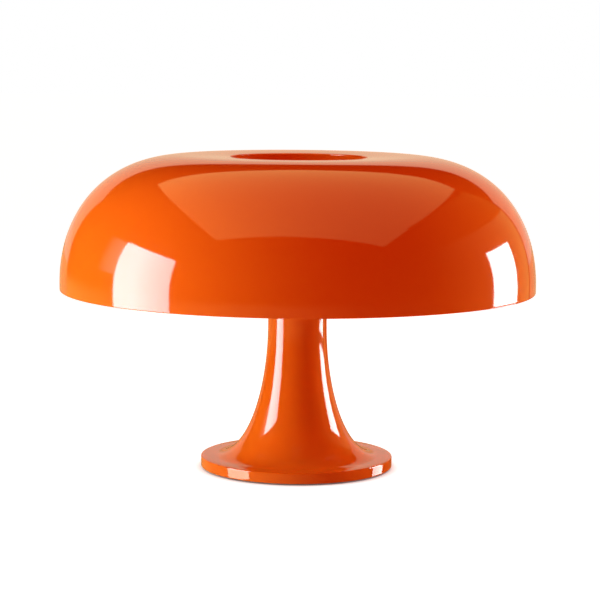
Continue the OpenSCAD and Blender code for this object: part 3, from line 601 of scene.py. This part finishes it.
# Ballast: a ring of black-painted cast iron that follows the stem's flare inside the foot. Three
# screws hold it to the base plate from below.
cast_iron = metal("cast_iron", (0.028, 0.028, 0.03), (0.045, 0.044, 0.044), (0.16, 0.15, 0.15),
                  0.55, 0.8, 0.06, 0.35)
recoloured(cast_iron, "ballast")

# Base plate: a zinc-plated steel disc let into the foot, with countersinks pressed into it. Four
# screws hold it to the stem's bosses.
recoloured(zinc_steel, "base_plate")

# Base and ballast screws: zinc-plated steel with countersunk heads, flush with the plate. Each
# head has a cross recess. Four go up into the stem's bosses and three into the ballast.


def prism(name, points, low, high, top_share):
    """A tapering block on an outline of (x, y) points"""
    mesh = bpy.data.meshes.new(name)
    shape = bmesh.new()
    bottom = [shape.verts.new((x * MM, y * MM, low * MM)) for x, y in points]
    top = [shape.verts.new((x * top_share * MM, y * top_share * MM, high * MM)) for x, y in points]
    shape.faces.new(list(reversed(bottom)))
    shape.faces.new(top)
    for i in range(len(points)):
        j = (i + 1) % len(points)
        shape.faces.new((bottom[i], bottom[j], top[j], top[i]))
    shape.to_mesh(mesh)
    shape.free()
    return finished(name, mesh)


def plate_screws(name, width, length, ring_radius, angles):
    """Countersunk screws with cross recesses that stand in the base plate, heads down"""
    screws = []
    shank = width / 2
    arm = 0.16 * width
    reach = 0.62 * width
    recess_depth = 0.42 * width
    cross = [(arm, arm), (arm, reach), (-arm, reach), (-arm, arm), (-reach, arm), (-reach, -arm),
             (-arm, -arm), (-arm, -reach), (arm, -reach), (arm, -arm), (reach, -arm), (reach, arm)]
    for angle in angles:
        line = [(0, 0), (width - 0.15, 0), (width, 0.12), (shank, shank), (shank, length - 0.6),
                (shank - 0.5, length), (0, length)]
        screw = turned("screw", line, 48)
        cut_or_join(screw, prism("recess", cross, -0.3, recess_depth, 0.55), "DIFFERENCE")
        turn = math.radians(angle)
        cross_turn = Matrix.Rotation(turn * 1.7, 4, "Z")
        screws.append(set_down(screw, on_ring(ring_radius, turn, foot_under) @ cross_turn))
    return joined(name, screws)


boss_screws = plate_screws("boss_screws", 3.2, 8.5, boss_ring_r, (45, 135, 225, 315))
dressed(boss_screws, "root", zinc_steel, "base_screws")
iron_screws = plate_screws("iron_screws", 4.0, 12, 24, (30, 150, 270))
dressed(iron_screws, "root", zinc_steel, "ballast_screws")

# Felt ring: pressed charcoal wool felt, cut as a flat ring and glued under the base plate. The
# lamp stands on it.
felt, tree = new_material("felt")
place = add_node(tree, "ShaderNodeTexCoord")
fibres = add_node(tree, "ShaderNodeTexNoise", Scale=1500.0, Detail=6.0, Roughness=0.75, Distortion=2.0)
tufts = add_node(tree, "ShaderNodeTexNoise", Scale=180.0, Detail=3.0)
wool = add_node(tree, "ShaderNodeBsdfPrincipled", Roughness=0.95, Sheen_Weight=0.35, Sheen_Roughness=0.5)
tree.links.new(place.outputs["Object"], fibres.inputs["Vector"])
tree.links.new(place.outputs["Object"], tufts.inputs["Vector"])
tree.links.new(between(tree, tufts.outputs["Fac"], (0.018, 0.018, 0.02), (0.05, 0.05, 0.053)),
               wool.inputs["Base Color"])
bumped(tree, fibres.outputs["Fac"], 0.25, wool)
put_out(tree, wool)
recoloured(felt, "felt_ring")

# Threaded tube: a short brass tube through the stem's end wall, which ties the carrier to the
# stem. Its thread is cut all along it.
tube_brass, tree = new_material("brass")
face = add_node(tree, "ShaderNodeGroup", node_tree=metal_face)
turns = add_node(tree, "ShaderNodeTexWave", wave_type="BANDS", bands_direction="Z", wave_profile="SIN",
                 Scale=314.0)
place = add_node(tree, "ShaderNodeTexCoord")
thread = add_node(tree, "ShaderNodeBsdfPrincipled", Metallic=1.0)
tree.links.new(place.outputs["Object"], turns.inputs["Vector"])
tree.links.new(between(tree, face.outputs["Clouds"], brass_dark, brass_light), thread.inputs["Base Color"])
tree.links.new(ranged(tree, face.outputs["Grain"], 0.3, 0.7, 0.25, 0.4), thread.inputs["Roughness"])
bumped(tree, turns.outputs["Fac"], 0.4, thread)
put_out(tree, thread)
recoloured(tube_brass, "threaded_tube")

# Washers and nuts of the tube: a steel washer and a brass hexagon nut above the carrier, and the
# same under the stem's end wall.
recoloured(zinc_steel, "lower_washer", "upper_washer")
recoloured(brass, "lower_nut", "upper_nut")

# Carrier: a cross of zinc-plated sheet steel whose four arms turn up into ears. Its edges are
# broken, as pressing and tumbling leave them.


def eased(node, name, width, segments):
    """Rounds the sharp edges of a node of the frame by a width in millimetres"""
    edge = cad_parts[node].modifiers.new(name, "BEVEL")
    edge.width = width * MM
    edge.segments = segments
    edge.limit_method = "ANGLE"
    edge.angle_limit = math.radians(50)


recoloured(zinc_steel, "carrier")
eased("carrier", "broken_edges", 0.3, 2)

# Shade pads: a black rubber clip on top of each ear of the carrier. The floor of the shade's well
# rests on the four of them.
recoloured(black_rubber, "shade_pads")
eased("shade_pads", "soft_edges", 0.35, 3)

# Lampholders: each a body of black phenolic with a moulded parting line and a rounded mouth. A
# spigot goes through its ear and takes a steel nut, and the socket holds a brass shell and contact.
holder_height = 150


def placed_on_holder(piece, k):
    """Turns a piece that was made about Z to lie along lampholder k, which looks outwards"""
    outwards = Matrix.Translation((0, 0, holder_height * MM)) @ Matrix.Rotation(math.radians(90), 4, "Y")
    return set_down(piece, Matrix.Rotation(math.radians(90 * (k - 1)), 4, "Z") @ outwards)


black_phenolic = moulded("black_phenolic", (0.010, 0.009, 0.008), (0.020, 0.017, 0.015), 0.2, 0.32, 0.004)
lead_bore_r, holder_spigot_r, holder_r, socket_r, rivet_r = 3, 5, 12, 7.95, 2.1
holder_start, ear_face, holder_mouth, socket_floor, rivet_end = 24, 32, 64, 44, 38
parting, groove = 46, 0.4
holder_line = rounded([(lead_bore_r, holder_start), (holder_spigot_r, holder_start),
                       (holder_spigot_r, ear_face), (holder_r, ear_face), (holder_r, parting - groove),
                       (holder_r - groove, parting), (holder_r, parting + groove), (holder_r, holder_mouth),
                       (socket_r, holder_mouth), (socket_r, socket_floor), (rivet_r, socket_floor),
                       (rivet_r, rivet_end), (lead_bore_r, rivet_end)],
                      [0.3, 0.5, 0, 2.2, 0.1, 0.1, 0.1, 1.2, 0.8, 0, 0, 0, 0])
for k in range(1, 5):
    body = placed_on_holder(turned("holder_moulding_%d" % k, holder_line, 96), k)
    dressed(body, "root", black_phenolic, "holder_body_%d" % k)
    recoloured(zinc_steel, "holder_nut_%d" % k)
    recoloured(brass, "holder_shell_%d" % k, "holder_contact_%d" % k)

# Leads: single-core leads in cream glass-silk sleeves. Two come up through the tube to the first
# lampholder, and three pairs go on from one lampholder to the next.
sleeve, tree = new_material("lead_sleeve")
place = add_node(tree, "ShaderNodeTexCoord")
braid = add_node(tree, "ShaderNodeTexVoronoi", Scale=1400.0)
soil = add_node(tree, "ShaderNodeTexNoise", Scale=120.0, Detail=3.0)
silk = add_node(tree, "ShaderNodeBsdfPrincipled", Roughness=0.6)
tree.links.new(place.outputs["Object"], braid.inputs["Vector"])
tree.links.new(place.outputs["Object"], soil.inputs["Vector"])
tree.links.new(between(tree, soil.outputs["Fac"], (0.62, 0.55, 0.40), (0.76, 0.70, 0.56)),
               silk.inputs["Base Color"])
bumped(tree, braid.outputs["Distance"], 0.08, silk)
put_out(tree, silk)
recoloured(sleeve, "supply_leads", *["jumper_leads_%d" % k for k in (1, 2, 3)])

# Bulbs: small frosted globes of blown glass on threaded nickel caps. Each has a bowed tungsten
# wire inside, and a black glass insulator with a soldered tip at its end.
frosted_glass, tree = new_material("bulb_glass")
skin = add_node(tree, "ShaderNodeGroup", node_tree=mould_skin)
glass = add_node(tree, "ShaderNodeBsdfPrincipled", IOR=1.45, Transmission_Weight=0.82)
tree.links.new(between(tree, skin.outputs["Clouds"], (0.93, 0.92, 0.89), (0.97, 0.96, 0.94)),
               glass.inputs["Base Color"])
tree.links.new(ranged(tree, skin.outputs["Clouds"], 0.3, 0.7, 0.26, 0.34), glass.inputs["Roughness"])
put_out(tree, glass)
nickel = metal("nickel_cap", (0.52, 0.50, 0.46), (0.64, 0.62, 0.58), (0.78, 0.76, 0.72), 0.18, 0.34, 0.001)
tungsten = metal("filament", (0.10, 0.10, 0.11), (0.16, 0.16, 0.17), (0.2, 0.2, 0.2), 0.4, 0.6, 0.001)
black_glass = moulded("black_glass", (0.006, 0.005, 0.007), (0.012, 0.010, 0.014), 0.08, 0.16, 0.002)
solder = metal("solder_tip", (0.40, 0.40, 0.41), (0.52, 0.52, 0.53), (0.62, 0.62, 0.62), 0.3, 0.5, 0.01)
globe_r, globe_middle, throat_r, glass_start = 22.5, 100.3, 6.05, 59
cap_r, cap_start, cap_end = 6.95, 50, 63
thread_start, thread_end, thread_run_out, thread_depth, thread_pitch = 51, 59.8, 1.2, 0.5, 2.82
# The glass press in the globe's neck, which holds the filament's wires
press_r, press_start, press_end = 3, 60, 79
# The glass leaves the globe's curve this far round from its outer end
globe_turn = math.radians(138)


def blown(wall):
    """The glass's outline from the cap to the end of the globe, drawn in by a wall's thickness"""
    throat = throat_r - wall
    globe = globe_r - wall
    meet = Vector((globe * math.sin(globe_turn), globe_middle + globe * math.cos(globe_turn)))
    pull = 9 * Vector((-math.cos(globe_turn), math.sin(globe_turn)))
    shoulder = bend([(throat, 63.5), (throat + 0.5, 72), meet - pull, meet], 16)
    arc = [Vector((globe * math.sin(turn), globe_middle + globe * math.cos(turn)))
           for turn in (globe_turn * (1 - i / 28) for i in range(1, 28))]
    return [(throat, glass_start + wall)] + shoulder + arc + [(0, globe_middle + globe)]


def helix(radius, height, angle):
    """The cap's screw thread, which runs out at both of its ends"""
    run = min(max(min(height - thread_start, thread_end - height) / thread_run_out, 0), 1)
    return radius - thread_depth * run * (0.5 - 0.5 * math.cos(2 * math.pi * height / thread_pitch - angle))


glass_wall = 1.0
glass_line = [(0, glass_start)] + blown(0) + blown(glass_wall)[::-1]
glass_line += [(press_r, press_start), (press_r, press_end - 0.6), (press_r - 0.6, press_end),
               (0, press_end)]
cap_line = [(0, cap_start), (5.6, cap_start), (5.95, 50.1), (6.8, 50.8)]
cap_line += [(cap_r, thread_start + 0.2 * i) for i in range(45)]
cap_line += [(cap_r, 62.8), (6.75, cap_end), (6.15, cap_end), (6.15, 50.4), (0, 50.4)]
for k in range(1, 5):
    bulb = turned("globe_%d" % k, glass_line, 96)
    dressed(placed_on_holder(bulb, k), "bulb_%d" % k, frosted_glass, "bulb_glass_%d" % k)
    cap = turned("cap_%d" % k, cap_line, 96, wave=helix)
    dressed(placed_on_holder(cap, k), "bulb_%d" % k, nickel, "bulb_cap_%d" % k)
    recoloured(tungsten, "bulb_filament_%d" % k)
    recoloured(black_glass, "bulb_insulator_%d" % k)
    recoloured(solder, "bulb_tip_%d" % k)

# Shade: one moulding of the same plastic. The dome rounds over into a lip and a well, whose floor
# has a ring of vent holes, and a low rib under the floor centres the shade on its four pads.
shade_r, rim_z, crest_r, crest_z, shade_wall = 160, 122, 76, 212, 2.5
well_r, lip_r, fillet_r, fillet_middle, floor_top, floor_under = 46, 0.8, 4, 41.5, 170, 167.5
# Where the dome leaves the straight rim, and the control points that pull its curve up and outwards
dome_start, side_pull_z, crest_pull_r = 126.5, 176.5, 128
dome = bend([(shade_r, dome_start), (shade_r, side_pull_z), (crest_pull_r, crest_z), (crest_r, crest_z)],
            120)
# The ring inside the crest, which bends down to the slope where it meets the well's lip
ring_slope = math.radians(3.5)
lip_middle = well_r + lip_r
ring_width = crest_r - (lip_middle - lip_r * math.sin(ring_slope))
ring_bow = math.tan(ring_slope) / (2 * ring_width)
ring_line = [Vector((r, crest_z - ring_bow * (crest_r - r) ** 2))
             for r in (crest_r - ring_width * k / 24 for k in range(1, 25))]
edge_z = ring_line[-1].y - lip_r * math.cos(ring_slope)
lip_turn = math.pi / 2 - ring_slope
lip = [Vector((lip_middle + lip_r * math.cos(turn), edge_z + lip_r * math.sin(turn)))
       for turn in (math.pi - lip_turn * (1 - k / 10) for k in range(1, 11))]
# Rings close below the lip keep its shading from running down the well's wall
below_lip = [Vector((well_r, lip[-1].y - z)) for z in (0.3, 2)]
well = [Vector((fillet_middle + fillet_r * math.cos(turn), floor_top + fillet_r - fillet_r * math.sin(turn)))
        for turn in (math.radians(a) for a in range(0, 91, 9))]
outer_part = [Vector((shade_r, rim_z + z)) for z in (0.7, 1.6, 3)] + dome
skin_line = outer_part + ring_line + lip + below_lip + well
# Inside, the ring's and the well's undersides meet in a plain corner
corner_r, corner_z = well_r + shade_wall, 208.7
inner_line = (drawn_in(outer_part + [p for p in ring_line if p.x > 50], shade_wall)
              + [Vector((corner_r, corner_z))] + drawn_in([lip[-1]] + well, shade_wall)[1:])
rim_in_r, rim_edge_z = shade_r - shade_wall, rim_z + 1.4
rim = rounded([(rim_in_r, rim_edge_z), (rim_in_r, rim_z), (shade_r, rim_z), (shade_r, rim_edge_z)],
              [0, 0.7, 0.7, 0], steps=6)[1:-1]
well_floor = [(r, floor_top) for r in (30, 14, 0)] + [(r, floor_under) for r in (0, 14, 30)]
rib_in_r, rib_out_r, rib_end, beside_rib = 34.53, 36.53, 164.5, 37.2
rib = [(rib_in_r - 0.13, floor_under), (rib_in_r, floor_under - 0.1), (rib_in_r, rib_end + 0.2),
       (rib_in_r + 0.17, rib_end), (rib_out_r - 0.23, rib_end), (rib_out_r, rib_end + 0.2),
       (rib_out_r, floor_under - 0.2), (rib_out_r + 0.17, floor_under)]
underside = [p for p in reversed(inner_line) if p.x > beside_rib and p.y > rim_edge_z - 0.2]
shade = turned("shade_moulding", rim + skin_line[1:] + well_floor + rib + underside, 224)
vent_count, vent_r, vent_ring_r, vent_low, vent_high = 12, 3, 22, 160, 176
vent_line = [(0, vent_low), (vent_r, vent_low), (vent_r, vent_high), (0, vent_high)]
vents = []
for k in range(vent_count):
    vent = turned("vent_%d" % k, vent_line, 32)
    vents.append(set_down(vent, on_ring(vent_ring_r, 2 * math.pi * k / vent_count, 0)))
cut_or_join(shade, joined("vents", vents), "DIFFERENCE")
dressed(shade, "shade", orange_plastic, "shade")
